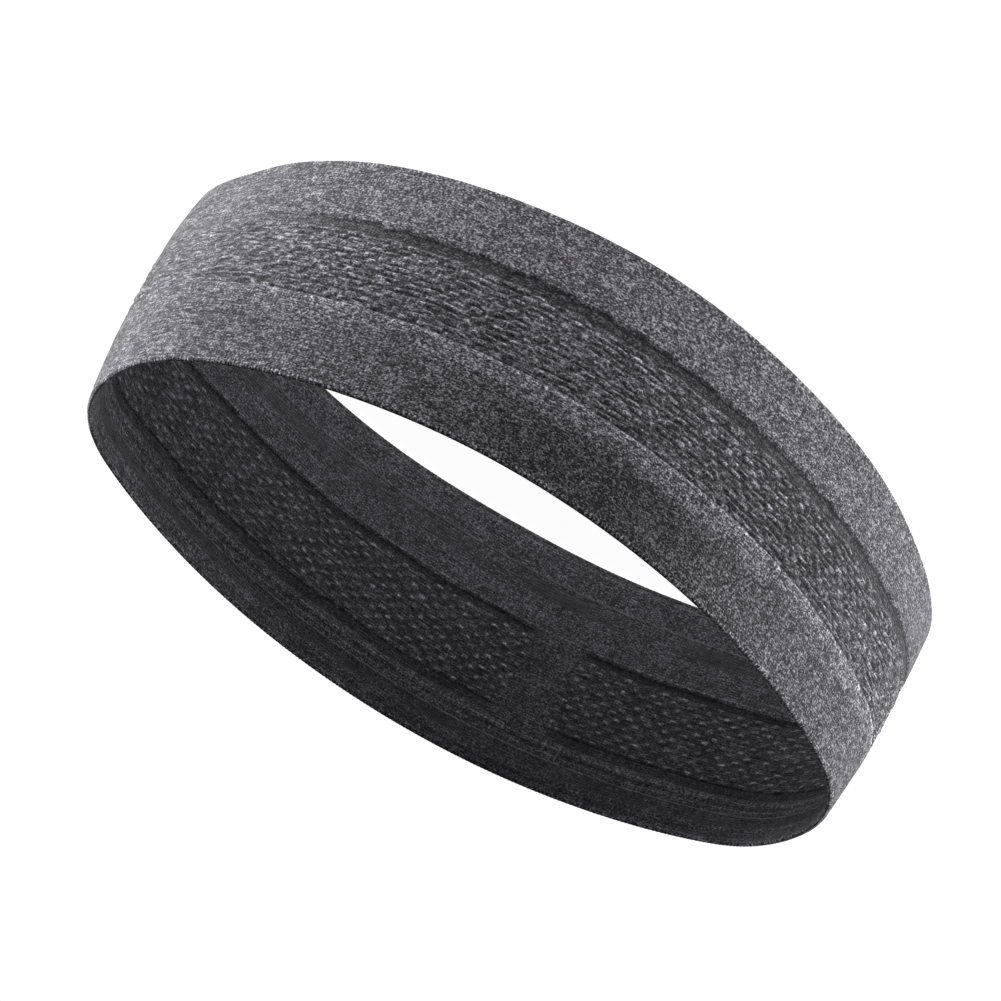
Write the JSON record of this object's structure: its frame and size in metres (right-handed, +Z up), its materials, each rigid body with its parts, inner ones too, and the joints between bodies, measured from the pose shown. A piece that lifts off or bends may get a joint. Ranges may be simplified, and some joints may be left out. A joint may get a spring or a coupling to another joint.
{
  "type": "sports headband",
  "caption": "Wide seamless knitted sports headband, an open oval loop in melange grey with a textured middle zone and a charcoal inside.",
  "frame": {"origin": "on the floor, under the middle of the loop, which stands on its lower rim", "axes": "+Z up along the loop's axis, +X along the loop's long axis, +Y towards the back, where a plain bridge breaks the inner mesh zone"},
  "size_m": [0.19, 0.1216, 0.06],
  "materials": {
    "melange_knit": "matte melange jersey",
    "charcoal_knit": "matte plated jersey",
    "edge_knit": "matte folded edge",
    "elastic_yarn": "covered elastic",
    "hem_thread": "spun thread"
  },
  "bodies": {
    "root": {"outer_lower_plain_knit": "melange_knit", "outer_textured_knit": "melange_knit", "outer_upper_plain_knit": "melange_knit", "inner_lower_plain_knit": "charcoal_knit", "inner_mesh_knit": "charcoal_knit", "inner_bridge_knit": "charcoal_knit", "inner_upper_plain_knit": "charcoal_knit", "lower_folded_edge": "edge_knit", "upper_folded_edge": "edge_knit", "lower_edge_elastic": "elastic_yarn", "upper_edge_elastic": "elastic_yarn", "lower_hem_stitches": "hem_thread", "upper_hem_stitches": "hem_thread"}
  },
  "joints": []
}
